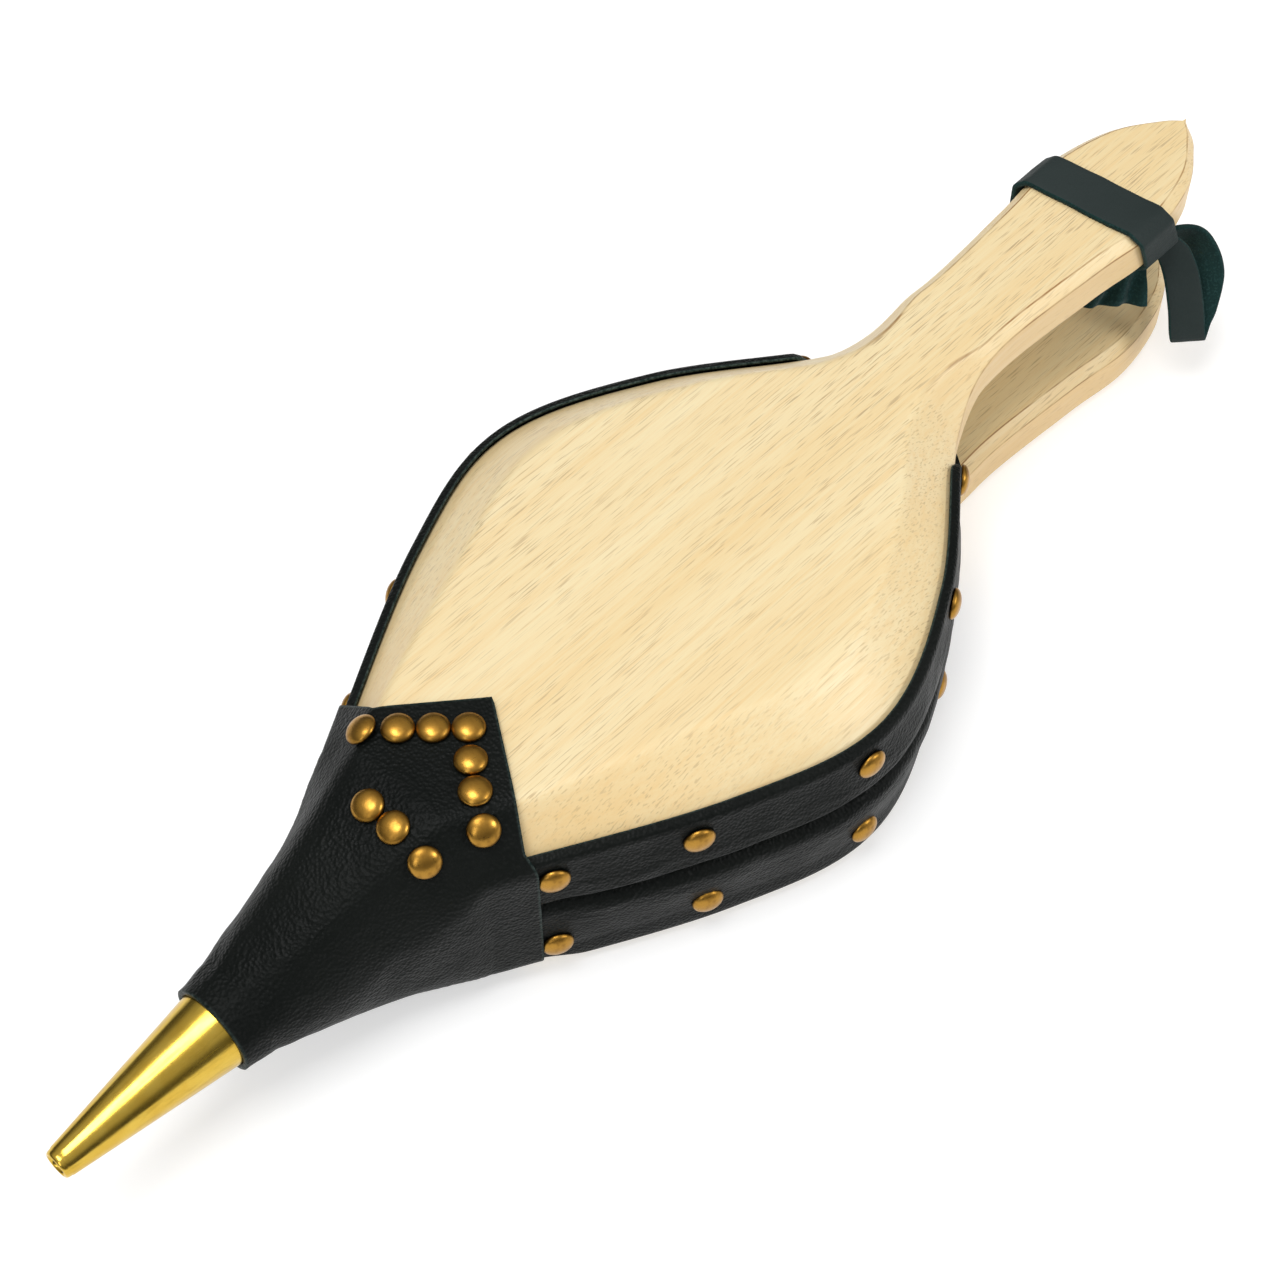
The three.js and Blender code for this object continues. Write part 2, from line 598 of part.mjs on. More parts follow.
// A leather strip over the flap that stops it from turning right over.
const keeperX = VALVE_X + 8;
function valveKeeper() {
  const half = FLAP_WIDTH / 2;
  const foot = half + KEEPER_FOOT;
  const top = BOARD_THICKNESS + GAP + KEEPER_RISE;
  const shape = new THREE.Shape()
    .moveTo(-foot, FLAP_BASE)
    .lineTo(-half - 6, FLAP_BASE)
    .lineTo(-half - 1.5, top)
    .lineTo(half + 1.5, top)
    .lineTo(half + 6, FLAP_BASE)
    .lineTo(foot, FLAP_BASE)
    .lineTo(foot, FLAP_BASE + LEATHER)
    .lineTo(half + 7.2, FLAP_BASE + LEATHER)
    .lineTo(half + 2.4, top + LEATHER)
    .lineTo(-half - 2.4, top + LEATHER)
    .lineTo(-half - 7.2, FLAP_BASE + LEATHER)
    .lineTo(-foot, FLAP_BASE + LEATHER);
  const geometry = new THREE.ExtrudeGeometry(shape, { depth: KEEPER_WIDTH, bevelEnabled: false });
  geometry.rotateX(Math.PI / 2).rotateZ(Math.PI / 2);
  return toSolid(geometry.translate(keeperX - KEEPER_WIDTH / 2, 0, 0));
}
for (const [i, sign] of [-1, 1].entries()) {
  const y = sign * (FLAP_WIDTH / 2 + KEEPER_FOOT - 6);
  const seat = point(keeperX, y, FLAP_BASE + LEATHER + TACK_SEAT);
  planTack(`tack_valve_keeper_${i + 1}`, seat, point(0, 0, 1));
}

// ---- strap round the upper handle, its gathered ends and the hanging loop ----
// A flat strip that runs through the given points. Its width lies along acrossAt(share of its length).
function ribbon(points, acrossAt, width, steps) {
  const route = new THREE.CatmullRomCurve3(points);
  const rings = [];
  for (let i = 0; i <= steps; i++) {
    const middle = route.getPoint(i / steps);
    const across = acrossAt(i / steps).normalize();
    const halfAcross = across.clone().multiplyScalar(width / 2);
    const face = route.getTangent(i / steps).cross(across).normalize();
    const halfFace = face.multiplyScalar(STRAP_THICKNESS / 2);
    const left = middle.clone().add(halfAcross);
    const right = middle.clone().sub(halfAcross);
    rings.push([
      left.clone().add(halfFace),
      right.clone().add(halfFace),
      right.clone().sub(halfFace),
      left.clone().sub(halfFace),
    ]);
  }
  return loft(rings);
}

// How far along the handle the strap lies from STRAP_X, at y, z.
function strapLean(y, z) {
  const side = y / HANDLE_HALF_WIDTH;
  const down = (HEIGHT - z) / (BOARD_THICKNESS - HANDLE_RELIEF);
  return STRAP_PULL * down * (0.5 - 0.5 * side) - STRAP_SKEW * side;
}

// A closed band round the handle's section, GAP clear of it.
function strapBand() {
  const corners = boardCorners(STRAP_X, HANDLE_HALF_WIDTH + 0.3, BEVEL_WIDTH, BEVEL_DROP);
  const half = corners.map(([y, depth]) => new THREE.Vector2(y, HEIGHT - depth));
  const section = [...half, ...half.map((p) => new THREE.Vector2(-p.x, p.y)).reverse()];
  const middleZ = HEIGHT - (BOARD_THICKNESS - HANDLE_RELIEF) / 2;
  const prism = (by, width) => {
    const rings = [-width / 2, width / 2].map((along) =>
      section.map(({ x: y, y: z }) => {
        const grownY = y + Math.sign(y) * by;
        const grownZ = z + Math.sign(z - middleZ) * by;
        return point(STRAP_X + along + strapLean(y, z), grownY, grownZ);
      }).reverse(),
    );
    return toSolid(loft(rings));
  };
  return prism(GAP + STRAP_THICKNESS, STRAP_WIDTH).subtract(prism(GAP, STRAP_WIDTH + 4));
}

// A place near the strap: from STRAP_X, from the handle's near edge, and from the band's underside.
const bandUnder = INNER_FACE + HANDLE_RELIEF - GAP - STRAP_THICKNESS;
const strapPlace = ([along, across, rise]) => {
  return point(STRAP_X + along, across - HANDLE_HALF_WIDTH, bandUnder + rise);
};

// The gathered ends under the handle: a fold of the strap that hangs in the gap at the near side.
function strapGather() {
  const route = [
    [1.4, 11.7, -1.2],
    [-1.6, 7.2, -6],
    [-4.1, 5.2, -12],
    [-1.1, 8.2, -15],
  ].map(strapPlace);
  return ribbon(route, () => point(0.73, -0.68, 0), GATHER_WIDTH, 12);
}

// The hanging loop: from the gathered ends down to its bight, and back up on edge.
function strapLoop() {
  const route = [
    [21.9, 1.5, -3.5],
    [21.8, -4, -10.9],
    [17.9, -10.9, -19.9],
    [15.2, -15.1, -27.9],
    [16.6, -15.5, -31.4],
    [21.9, -13.3, -30.4],
    [25.9, -12.3, -25.9],
    [32.4, -9.1, -18.4],
    [35.9, -3.8, -11.9],
    [36.4, 1.7, -8.4],
    [30.4, 6.7, -6.9],
    [22.4, 9.2, -6.9],
  ].map(strapPlace);
  const flat = point(0.75, -0.65, 0);
  const onEdge = point(-0.2, -0.2, 0.95);
  return ribbon(route, (share) => flat.clone().lerp(onEdge, smooth(share, 0.4, 0.95)), LOOP_WIDTH, 34);
}

// ---- assembly ----
addNode("lower_board", toGeometry(lowerBoard()), beech);
addNode("upper_board", toGeometry(upperBoard()), beech);
addNode("nose_block", toGeometry(noseBlock()), blockWood);
addNode("nozzle", nozzleGeometry(), brass);
addNode("side_leather", toGeometry(sideLeather()), blackLeather);
const shell = toSolid(loft(wrapRings(LEATHER))).subtract(toSolid(loft(wrapRings(0))));
const noseLeather = drill(shell.subtract(behindTheV()), "tack_v", "tack_cross", "tack_under");
addNode("nose_leather", toGeometry(noseLeather), blackLeather);
addNode("valve_flap", valveFlap(), blockWood);
addNode("valve_hinge", toGeometry(drill(valveHinge(), "tack_valve_hinge")), suede);
addNode("valve_keeper", toGeometry(drill(valveKeeper(), "tack_valve_keeper")), suede);
addNode("strap_band", toGeometry(strapBand()), blackLeather);
addNode("strap_gather", strapGather(), suede);
addNode("strap_loop", strapLoop(), blackLeather);
for (const tack of tacks) {
  const mesh = addNode(tack.name, tackShape, bronze);
  mesh.applyMatrix4(tack.matrix);
}

export default root;
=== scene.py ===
# Hand bellows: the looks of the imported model, in metres, in its own frame.
import json
import math

import bmesh
import bpy
import numpy as np
from mathutils import Matrix, Vector, noise


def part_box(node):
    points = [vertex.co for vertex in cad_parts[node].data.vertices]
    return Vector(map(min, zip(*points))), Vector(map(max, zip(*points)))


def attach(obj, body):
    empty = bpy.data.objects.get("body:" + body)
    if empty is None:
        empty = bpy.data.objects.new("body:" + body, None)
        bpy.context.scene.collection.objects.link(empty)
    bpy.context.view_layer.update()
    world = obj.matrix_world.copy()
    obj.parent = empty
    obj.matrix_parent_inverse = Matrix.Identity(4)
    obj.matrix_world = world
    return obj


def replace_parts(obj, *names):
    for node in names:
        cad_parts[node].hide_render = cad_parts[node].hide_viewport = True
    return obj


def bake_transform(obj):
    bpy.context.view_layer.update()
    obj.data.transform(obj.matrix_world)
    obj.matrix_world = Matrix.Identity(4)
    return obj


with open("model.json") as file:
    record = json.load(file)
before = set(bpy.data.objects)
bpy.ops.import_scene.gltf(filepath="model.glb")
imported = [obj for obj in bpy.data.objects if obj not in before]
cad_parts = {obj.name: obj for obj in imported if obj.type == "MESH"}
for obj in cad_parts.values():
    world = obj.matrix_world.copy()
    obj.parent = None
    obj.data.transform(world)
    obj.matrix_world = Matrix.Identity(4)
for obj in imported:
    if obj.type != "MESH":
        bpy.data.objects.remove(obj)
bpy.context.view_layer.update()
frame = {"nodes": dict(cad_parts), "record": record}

MM = 0.001


def mm(corner):
    return np.array(corner) / MM


# ---- sizes, in millimetres, from the CAD nodes ----
UPPER = [mm(c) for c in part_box("upper_board")]
HEIGHT = UPPER[1][2]
THICK = UPPER[1][2] - UPPER[0][2]
NOSE_X, TIP_X = UPPER[0][0], UPPER[1][0]
HALF = UPPER[1][1]
MID_Z = HEIGHT / 2
BLOCK_X = mm(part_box("nose_block")[0])[0]
COLLAR_X = mm(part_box("nose_leather")[0])[0]
NOZZLE_X = mm(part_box("nozzle")[0])[0]
NECK_X = 95.0
NECK_HALF = 18.0
HANDLE_HALF = 22.7
BEVEL_W, BEVEL_D = 20.9, 16.5
LOW_BEVEL_W, LOW_BEVEL_D = 6.0, 5.0
CHAMFER = 3.5
RELIEF = 6.0
NOSE_RELIEF = 5.6
LEATHER = 1.8
GAP = 0.3
INNER_FACE = HEIGHT - THICK
BEVEL_FOOT = HEIGHT - BEVEL_D
NOSE_BEVEL = 0.64
SHOULDER_EASE = 10.0
BLOCK_RADIUS = 13.6
INTAKE_X, INTAKE_RADIUS = 4.0, 13.0
WRAP_SIDE_X, WRAP_POINT_X, WRAP_POINT_Y = NOSE_X + 13, NOSE_X + 39, 2.0
WRAP_FAR_SLOPE, WRAP_NEAR_SLOPE = 1.16, 0.68
NOSE_LEAN = 0.056


def lerp(a, b, t):
    return a + (b - a) * t


def smooth(x, a, b):
    t = min(max((x - a) / (b - a), 0.0), 1.0)
    return t * t * (3 - 2 * t)


def rumple(x, y, z, size, seed=0.0):
    """Smooth noise from -1 to 1 with features of about `size` millimetres."""
    return noise.noise(Vector((x / size + seed, y / size - seed, z / size + 2 * seed)))


def upper_bevel(x):
    return BEVEL_W * lerp(NOSE_BEVEL, 1.0, smooth(x, NOSE_X + 8, NOSE_X + 75))


# ---- outline of the boards ----
CONTROL = [
    (NOSE_X, HALF * 0.37), (-50, HALF * 0.825), (0, HALF), (50, HALF * 0.765),
    (NECK_X + 5, NECK_HALF + 7.5), (NECK_X + 33, NECK_HALF), (NECK_X + 80, HANDLE_HALF - 2.5),
    (TIP_X - 47, HANDLE_HALF), (TIP_X - 22, HANDLE_HALF * 0.8), (TIP_X - 7, HANDLE_HALF * 0.41),
    (TIP_X - 1.5, HANDLE_HALF * 0.18), (TIP_X, 0.4),
]


def spline(points, count):
    """Catmull-Rom through the points, `count` steps to a span."""
    p = np.array(points, float)
    p = np.vstack([2 * p[0] - p[1], p, 2 * p[-1] - p[-2]])
    t = np.linspace(0, 1, count, endpoint=False)[:, None]
    rows = []
    for i in range(1, len(p) - 2):
        a, b, c, d = p[i - 1 : i + 3]
        rows.append(
            0.5 * (2 * b + (c - a) * t + (2 * a - 5 * b + 4 * c - d) * t**2
                   + (3 * b - a - 3 * c + d) * t**3)
        )
    return np.vstack([*rows, p[-2:-1]])


OUTLINE = spline(CONTROL, 200)


def half_width(x):
    return float(np.interp(x, OUTLINE[:, 0], OUTLINE[:, 1]))


# ---- meshes ----
def make(name, points, faces, materials, indices=None, attributes=None):
    """A smooth-shaded piece from points in millimetres, with outward normals."""
    mesh = bpy.data.meshes.new(name)
    mesh.from_pydata([tuple(c * MM for c in p) for p in points], [], faces)
    for m in materials:
        mesh.materials.append(m)
    if indices is not None:
        mesh.polygons.foreach_set("material_index", np.array(indices, np.int32))
    for key, values in (attributes or {}).items():
        layer = mesh.attributes.new(key, "FLOAT", "POINT")
        layer.data.foreach_set("value", np.array(values, np.float32))
    bm = bmesh.new()
    bm.from_mesh(mesh)
    bmesh.ops.recalc_face_normals(bm, faces=bm.faces)
    bm.to_mesh(mesh)
    bm.free()
    mesh.polygons.foreach_set("use_smooth", np.full(len(mesh.polygons), True))
    obj = bpy.data.objects.new(name, mesh)
    bpy.context.scene.collection.objects.link(obj)
    return obj


def grid(rows, cols, closed_rows=False, closed_cols=False, start=0):
    faces = []
    for i in range(rows if closed_rows else rows - 1):
        for k in range(cols if closed_cols else cols - 1):
            a = start + i * cols + k
            b = start + i * cols + (k + 1) % cols
            c = start + ((i + 1) % rows) * cols + (k + 1) % cols
            d = start + ((i + 1) % rows) * cols + k
            faces.append((a, b, c, d))
    return faces


def tube(rings, closed=False, caps=True):
    """Points and faces of a body through closed rings of equally many points."""
    rings = np.array(rings, float)
    rows, cols = rings.shape[:2]
    points = rings.reshape(-1, 3).tolist()
    faces = grid(rows, cols, closed_rows=closed, closed_cols=True)
    if caps and not closed:
        for row in (0, rows - 1):
            points.append(rings[row].mean(axis=0).tolist())
            centre = len(points) - 1
            faces += [(centre, row * cols + k, row * cols + (k + 1) % cols) for k in range(cols)]
    return points, faces


def rounded(corners, eases, pieces):
    """A polyline with its inner corners rounded. Returns its points, and 1 where a corner is."""
    corners = [np.array(c, float) for c in corners]
    points, marks = [], []
    last = corners[0]
    for i in range(1, len(corners)):
        here = corners[i]
        ease = eases[i] if i < len(corners) - 1 else 0.0
        before = np.linalg.norm(corners[i - 1] - here)
        cut = min(ease, 0.45 * before)
        if i < len(corners) - 1:
            cut = min(cut, 0.45 * np.linalg.norm(corners[i + 1] - here))
        start = here + (corners[i - 1] - here) / max(before, 1e-9) * cut
        for k in range(pieces[i - 1]):
            points.append(lerp(last, start, k / pieces[i - 1]))
            marks.append(0.0)
        if i == len(corners) - 1:
            points.append(here)
            marks.append(0.0)
            break
        after = np.linalg.norm(corners[i + 1] - here)
        end = here + (corners[i + 1] - here) / max(after, 1e-9) * cut
        for k in range(5):
            t = k / 5
            points.append((1 - t) ** 2 * start + 2 * t * (1 - t) * here + t * t * end)
            marks.append(1.0 if k in (2, 3) else 0.0)
        last = end
    return points, marks


# ---- node materials ----
def material(name):
    m = bpy.data.materials.new(name)
    m.use_nodes = True
    tree = m.node_tree
    shader = tree.nodes["Principled BSDF"]
    return m, tree, shader


def node(tree, kind, settings=None, **inputs):
    n = tree.nodes.new(kind)
    for key, value in (settings or {}).items():
        setattr(n, key, value)
    for key, value in inputs.items():
        socket = n.inputs[key.replace("_", " ")]
        if isinstance(value, bpy.types.NodeSocket):
            tree.links.new(value, socket)
        else:
            socket.default_value = value
    return n


def ramp(tree, source, stops):
    n = node(tree, "ShaderNodeValToRGB", Fac=source)
    elements = n.color_ramp.elements
    while len(elements) < len(stops):
        elements.new(0.5)
    for element, (position, value) in zip(elements, stops):
        element.position = position
        colour = value if isinstance(value, tuple) else (value, value, value)
        element.color = (*colour, 1)
    return n.outputs["Color"]


def mix(tree, factor, a, b):
    n = tree.nodes.new("ShaderNodeMix")
    n.data_type = "RGBA"
    for index, value in ((0, factor), (6, a), (7, b)):
        socket = n.inputs[index]
        if isinstance(value, bpy.types.NodeSocket):
            tree.links.new(value, socket)
        elif index == 0:
            socket.default_value = value
        else:
            socket.default_value = (*value, 1)
    return n.outputs[2]


def stretched(tree, scale):
    where = node(tree, "ShaderNodeTexCoord").outputs["Object"]
    return node(tree, "ShaderNodeMapping", Vector=where, Scale=scale).outputs["Vector"]


def noisy(tree, vector, scale, detail, roughness):
    return node(
        tree, "ShaderNodeTexNoise", Vector=vector, Scale=scale, Detail=detail, Roughness=roughness
    ).outputs["Fac"]


def bump(tree, shader, height, strength, distance, below=None):
    inputs = {"Height": height, "Strength": strength, "Distance": distance}
    if below is not None:
        inputs["Normal"] = below
    n = node(tree, "ShaderNodeBump", **inputs)
    tree.links.new(n.outputs["Normal"], shader.inputs["Normal"])
    return n.outputs["Normal"]


def multiplied(tree, a, b):
    n = node(tree, "ShaderNodeMath", {"operation": "MULTIPLY"})
    tree.links.new(a, n.inputs[0])
    tree.links.new(b, n.inputs[1])
    return n.outputs[0]


# dark brown painted in a broken line along the arrises of the wood
ARRIS_LINE = (0.30, 0.155, 0.05)
RAW_EDGE = (0.008, 0.018, 0.016), (0.05, 0.07, 0.062)  # cut edges of leather, dark and light
SUEDE_NAP = (0.04, 0.1, 0.095)


def wood(name, light, tan, fleck, side):
    m, tree, shader = material(name)
    bands = noisy(tree, stretched(tree, (2.6, 30, 30)), 1.0, 3.0, 0.55)
    lines = noisy(tree, stretched(tree, (9, 520, 520)), 1.0, 3.0, 0.6)
    pores = noisy(tree, stretched(tree, (60, 2600, 2600)), 1.0, 2.0, 0.6)
    base = mix(tree, ramp(tree, bands, [(0.3, 0.0), (0.7, 1.0)]), light, tan)
    base = mix(tree, ramp(tree, lines, [(0.42, 0.0), (0.75, 0.5)]), base, side)
    base = mix(tree, ramp(tree, pores, [(0.45, 0.0), (0.8, 0.35)]), base, side)
    # short dark rays, each a few millimetres long
    rays = noisy(tree, stretched(tree, (100, 2300, 1300)), 1.0, 1.0, 0.4)
    patch = noisy(tree, stretched(tree, (12, 34, 34)), 1.0, 2.0, 0.5)
    amount = multiplied(
        tree, ramp(tree, rays, [(0.58, 0.0), (0.70, 1.0)]), ramp(tree, patch, [(0.3, 0.25), (0.7, 0.9)])
    )
    base = mix(tree, amount, base, fleck)
    # painted shade: deeper, more orange colour on the faces that stand up, as they turn from the light; and a
    # dark line painted along the arrises
    normal = node(tree, "ShaderNodeTexCoord").outputs["Normal"]
    up = node(tree, "ShaderNodeSeparateXYZ", Vector=normal).outputs["Z"]
    steep = node(tree, "ShaderNodeMath", {"operation": "ABSOLUTE"})
    tree.links.new(up, steep.inputs[0])
    # painted shade: the steeper the face, the more it takes the deeper side colour
    base = mix(tree, ramp(tree, steep.outputs[0], [(0.25, 0.7), (0.72, 0.12), (0.97, 0.0)]), base, side)
    arris = node(tree, "ShaderNodeAttribute", {"attribute_name": "arris"}).outputs["Fac"]
    arris_breaks = noisy(tree, stretched(tree, (70, 300, 300)), 1.0, 2.0, 0.5)
    edge = multiplied(tree, arris, ramp(tree, arris_breaks, [(0.35, 0.2), (0.6, 1.0)]))
    # a dark line painted along the arrises, broken up by noise
    base = mix(tree, edge, base, ARRIS_LINE)
    tree.links.new(base, shader.inputs["Base Color"])
    tree.links.new(ramp(tree, lines, [(0.3, 0.34), (0.8, 0.5)]), shader.inputs["Roughness"])
    shader.inputs["Specular IOR Level"].default_value = 0.4
    bump(tree, shader, rays, 0.12, 0.0003)
    return m


def leather(name, colour, tint, gloss, grain):
    m, tree, shader = material(name)
    plain = stretched(tree, (1, 1, 1))
    warp = noisy(tree, plain, 60.0, 2.0, 0.5)
    pebble = node(
        tree, "ShaderNodeTexVoronoi", {"feature": "SMOOTH_F1"}, Vector=plain, Scale=900.0,
        Smoothness=0.5, Randomness=1.0,
    ).outputs["Distance"]
    crease = noisy(tree, plain, 210.0, 6.0, 0.65)
    cloud = noisy(tree, plain, 18.0, 3.0, 0.5)
    base = mix(tree, ramp(tree, cloud, [(0.35, 0.0), (0.7, 1.0)]), colour, tint)
    rim = node(tree, "ShaderNodeAttribute", {"attribute_name": "rim"}).outputs["Fac"]
    fuzz = noisy(tree, plain, 900.0, 3.0, 0.7)
    raw = mix(tree, ramp(tree, fuzz, [(0.4, 0.0), (0.62, 1.0)]), *RAW_EDGE)
    base = mix(tree, rim, base, raw)
    tree.links.new(base, shader.inputs["Base Color"])
    tree.links.new(
        ramp(tree, warp, [(0.3, gloss - 0.05), (0.7, gloss + 0.08)]), shader.inputs["Roughness"]
    )
    shader.inputs["Specular IOR Level"].default_value = 0.07
    first = bump(tree, shader, pebble, grain, 0.0004)
    bump(tree, shader, crease, 0.4, 0.0008, first)
    return m


def suede(name, colour, tint):
    m, tree, shader = material(name)
    plain = stretched(tree, (1, 1, 1))
    nap = noisy(tree, plain, 1300.0, 4.0, 0.7)
    cloud = noisy(tree, plain, 90.0, 3.0, 0.6)
    base = mix(tree, ramp(tree, cloud, [(0.35, 0.0), (0.7, 1.0)]), colour, tint)
    base = mix(tree, ramp(tree, nap, [(0.5, 0.0), (0.75, 0.5)]), base, SUEDE_NAP)
    tree.links.new(base, shader.inputs["Base Color"])
    tree.links.new(ramp(tree, nap, [(0.3, 0.8), (0.7, 1.0)]), shader.inputs["Roughness"])
    shader.inputs["Specular IOR Level"].default_value = 0.15
    shader.inputs["Sheen Weight"].default_value = 0.06
    shader.inputs["Sheen Roughness"].default_value = 0.5
    bump(tree, shader, nap, 0.6, 0.0004)
    return m


def metal(name, colour, tint, dark, rough, streaks, pits):
    m, tree, shader = material(name)
    # streak noise: brushed tone, and on the nozzle also painted reflection bands running lengthwise
    turned = noisy(tree, stretched(tree, streaks), 1.0, 3.0, 0.6)
    cloud = noisy(tree, stretched(tree, (1, 1, 1)), 160.0, 4.0, 0.6)
    base = mix(tree, ramp(tree, cloud, [(0.3, 0.0), (0.7, 1.0)]), colour, tint)
    rim = node(tree, "ShaderNodeAttribute", {"attribute_name": "rim"}).outputs["Fac"]
    # dark streaks: on the nozzle partly brushed tone and partly painted reflection bands; on the tacks a
    # random mottle
    base = mix(tree, ramp(tree, turned, [(0.5, 0.0), (0.72, 0.5)]), base, dark)
    # painted shade: the tack heads are darkened at their upright rim and underneath, shank too
    base = mix(tree, rim, base, dark)
    tree.links.new(base, shader.inputs["Base Color"])
    tree.links.new(ramp(tree, turned, [(0.3, rough * 0.7), (0.7, rough * 1.5)]), shader.inputs["Roughness"])
    shader.inputs["Metallic"].default_value = 1.0
    bump(tree, shader, cloud, pits, 0.0002)
    return m


BEECH = wood("beech", (0.77, 0.665, 0.42), (0.73, 0.565, 0.30), (0.43, 0.31, 0.17), (0.71, 0.48, 0.21))
BLOCK = wood("block_wood", (0.72, 0.56, 0.34), (0.65, 0.47, 0.26), (0.33, 0.2, 0.09), (0.6, 0.4, 0.19))
BLACK = leather("black_leather", (0.0035, 0.0045, 0.004), (0.0065, 0.0078, 0.0068), 0.42, 0.8)
BAND = leather("strap_leather", (0.021, 0.029, 0.028), (0.028, 0.037, 0.036), 0.5, 0.25)
SUEDE = suede("suede", (0.004, 0.019, 0.018), (0.007, 0.03, 0.028))
BRASS = metal(
    "nozzle_brass", (0.64, 0.44, 0.075), (0.58, 0.37, 0.05), (0.36, 0.23, 0.025), 0.19, (6, 620, 620), 0.04
)
BRONZE = metal(
    "tack_bronze", (0.42, 0.225, 0.04), (0.33, 0.17, 0.028), (0.12, 0.058, 0.01), 0.31,
    (300, 300, 300), 0.2,
)


# ---- boards ----
def board_section(x, half, bevel_w, bevel_d, soft):
    """Half section at x from the middle of the outer face to the middle of the inner one."""
    share = smooth(x, NECK_X + 11, NECK_X + 27)
    handle = smooth(x, NECK_X, NECK_X + 33)
    width = lerp(bevel_w, CHAMFER, smooth(x, NECK_X - 20, NECK_X + 33))
    drop = lerp(bevel_d, CHAMFER, handle)
    depth = THICK - RELIEF * share
    inner = lerp(0.8, CHAMFER, share)
    corners = [
        (0, 0), (max(half - width, 0.15), 0), (half, drop), (half, depth - inner),
        (max(half - inner, 0.1), depth), (0, depth),
    ]
    eases = [0, lerp(soft, 0.7, handle), lerp(1.6, 0.7, handle), 0.6, 0.6, 0]
    return rounded(corners, eases, [9, 8, 5, 2, 8])


def board_rings(bevel_at, bevel_d, soft, rise_at):
    xs = [NOSE_X]
    while xs[-1] < TIP_X - 0.02:
        left = TIP_X - xs[-1]
        xs.append(min(TIP_X, xs[-1] + min(2.4, 0.05 + 0.16 * left)))
    rings, marks = [], []
    for x in xs:
        half, corner = board_section(x, half_width(x), bevel_at(x), bevel_d, soft)
        weight = smooth(x, NECK_X - 5, NECK_X + 20)
        rise = rise_at(x)
        ring = [(x, y, z + rise * (1 - z / THICK)) for y, z in half]
        ring += [(x, -y, z) for x, y, z in reversed(ring[1:-1])]
        rings.append(ring)
        mark = [c * weight for c in corner]
        marks += mark + list(reversed(mark[1:-1]))
    return np.array(rings), marks


def upper_board():
    rings, marks = board_rings(upper_bevel, BEVEL_D, 2.4, lambda x: 0.0)
    # The front end leans back, so that the board can close past level without meeting the block.
    lean = rings[..., 2] * NOSE_LEAN * np.clip(1 - (rings[..., 0] - NOSE_X) / 40, 0, 1)
    rings[..., 0] += lean
    rings[..., 2] = HEIGHT - rings[..., 2]
    points, faces = tube(rings)
    obj = make("upper_board_wood", points, faces, [BEECH], attributes={"arris": marks + [0, 0]})
    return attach(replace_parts(obj, "upper_board"), "upper")


def lower_board():
    rings, marks = board_rings(
        lambda x: LOW_BEVEL_W, LOW_BEVEL_D, 1.0,
        lambda x: NOSE_RELIEF * (1 - smooth(x, NOSE_X + 12, NOSE_X + 28)),
    )
    points, faces = tube(rings)
    obj = make("lower_board_wood", points, faces, [BEECH], attributes={"arris": marks + [0, 0]})
    bpy.ops.mesh.primitive_cylinder_add(
        vertices=96, radius=INTAKE_RADIUS * MM, depth=0.1, location=(INTAKE_X * MM, 0, 0)
    )
    cutter = bpy.context.object
    cut = obj.modifiers.new("intake", "BOOLEAN")
    cut.object = cutter
    cut.solver = "EXACT"
    bpy.context.view_layer.update()
    evaluated = obj.evaluated_get(bpy.context.evaluated_depsgraph_get())
    made = bpy.data.meshes.new_from_object(evaluated)
    obj.modifiers.clear()
    obj.data = made
    bpy.data.objects.remove(cutter)
    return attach(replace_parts(obj, "lower_board"), "lower")


upper_board()
lower_board()


# ---- side leather ----
def leather_path():
    """Stations (x, y, normal x, normal y) round the boards, from the far nose to the near nose."""
    xs = np.linspace(NOSE_X + 3, NECK_X + 2, 120)
    side = [(x, half_width(x)) for x in xs]
    turn = NECK_X + 8
    corner = spline([side[-1], (NECK_X + 5, 23.0), (turn - 0.6, 18.0), (turn, 12), (turn, 0)], 8)
    far = side[:-1] + [tuple(p) for p in corner]
    path = far + [(x, -y) for x, y in reversed(far[:-1])]
    path = np.array(path)
    along = np.gradient(path, axis=0)
    normals = np.stack([-along[:, 1], along[:, 0]], axis=1)
    normals /= np.linalg.norm(normals, axis=1)[:, None]
    return np.hstack([path, normals])


def leather_profile(x, across):
    """(offset from the wood, height) along the strip's middle, from its lower to its upper lip."""
    nose = smooth(x, NOSE_X + 14, NOSE_X + 36)
    neck = 1 - smooth(x, NECK_X - 24, NECK_X - 1)
    body = min(nose, neck)
    deep = lerp(2.6, 13.0, body)
    swell = 1.9 * body
    rise = NOSE_RELIEF * (1 - smooth(x, NOSE_X + 12, NOSE_X + 28)) * 0.8
    low = [
        (-1.6, 2.4 + rise), (0.5, 4.2 + rise), (1.2, 6.8 + rise * 0.7), (1.2, 13), (1.3 + 0.2 * swell, 19),
        (1.3 + 0.7 * swell, 25), (1.3 + swell, 30.5), (1.0 + 0.55 * swell, 35.3), (-deep * 0.45, 38.1),
    ]
    high = [
        (-deep * 0.45, 39.4), (1.0 + 0.5 * swell, 41.9), (1.3 + 0.85 * swell, 45.6),
        (1.3 + 0.5 * swell, 50.6), (1.25 + 0.15 * swell, 55.6), (1.2, 59.2), (1.2, 61.9),
        (0.9, 63.3), (-1.4, 64.2),
    ]
    points = np.array(low + [(-deep, MID_Z)] + high)
    # the flanges end at the neck, and only the fold crosses between the boards
    fade = smooth(x, NECK_X - 8, NECK_X + 3) if not across else 1.0
    for limit, sign in ((THICK + 0.6, -1), (INNER_FACE - 0.6, 1)):
        beyond = (points[:, 1] - limit) * sign > 0
        points[beyond, 1] = limit + (points[beyond, 1] - limit) * (1 - 0.97 * fade)
        points[beyond, 0] = lerp(points[beyond, 0], 1.2, min(1.0, 2.5 * fade))
    return spline(points, 5)


